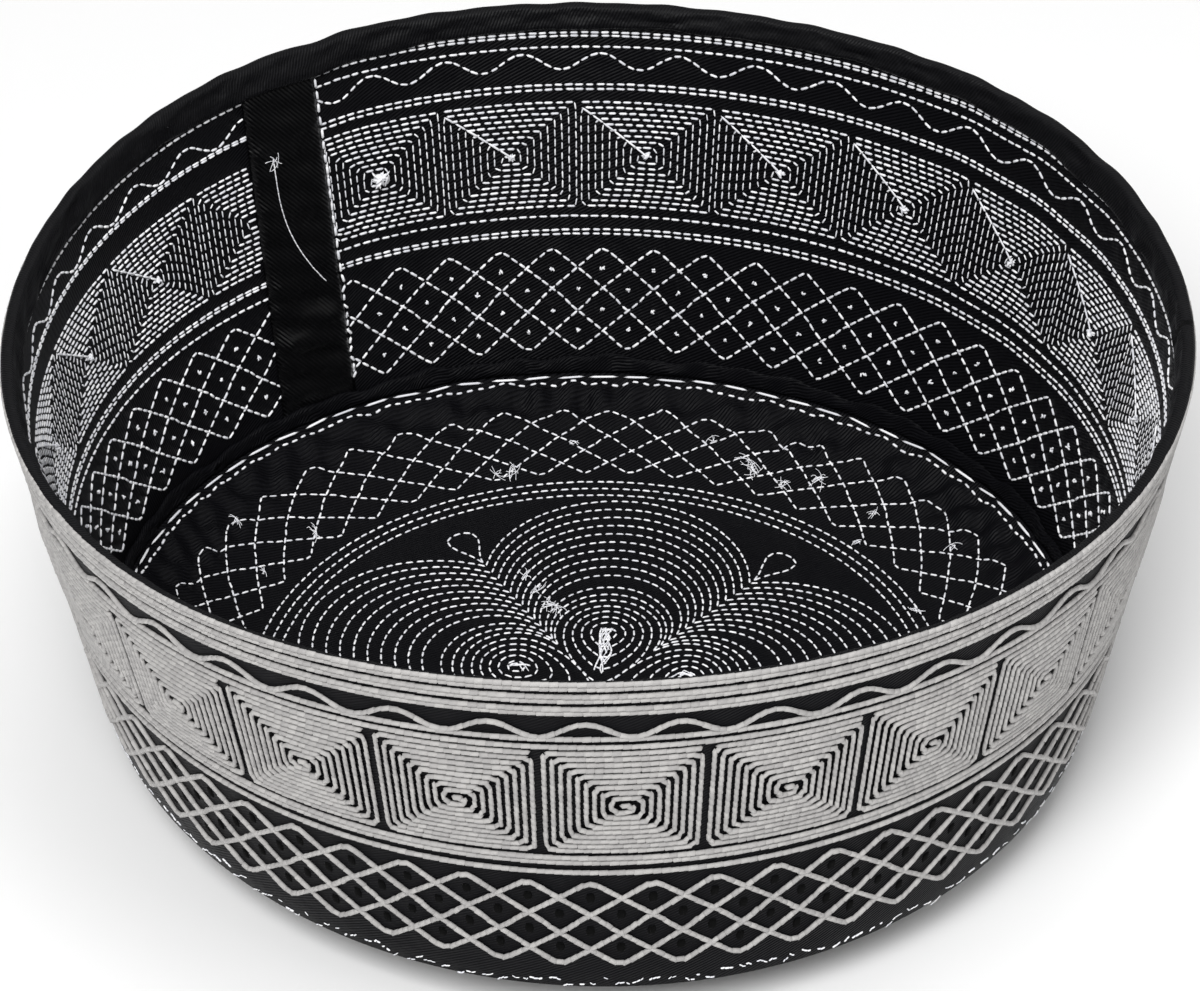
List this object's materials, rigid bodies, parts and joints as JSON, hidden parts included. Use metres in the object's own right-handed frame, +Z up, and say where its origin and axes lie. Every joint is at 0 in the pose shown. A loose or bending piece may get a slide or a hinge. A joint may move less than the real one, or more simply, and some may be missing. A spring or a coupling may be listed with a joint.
{
  "type": "kufi",
  "caption": "Kufi cap in stiffened black cloth with white line embroidery, lying on its crown with the opening up",
  "frame": {"origin": "centre of the crown's flat underside, where the cap rests on the floor", "axes": "+Z up through the opening, -Y towards the viewer of the picture, +X to the right"},
  "size_m": [0.183, 0.185, 0.0776],
  "materials": {
    "black_twill": "stiffened black twill with a faint sheen",
    "black_facing": "soft folded black cloth",
    "black_ribbon": "black satin ribbon",
    "white_thread": "white polyester sewing thread",
    "grey_cord": "thick grey-white embroidery thread"
  },
  "bodies": {
    "root": {"side_band": "black_twill", "crown": "black_twill", "rim_facing": "black_facing", "crown_welt": "black_twill", "seam_tape": "black_ribbon"}
  },
  "joints": []
}
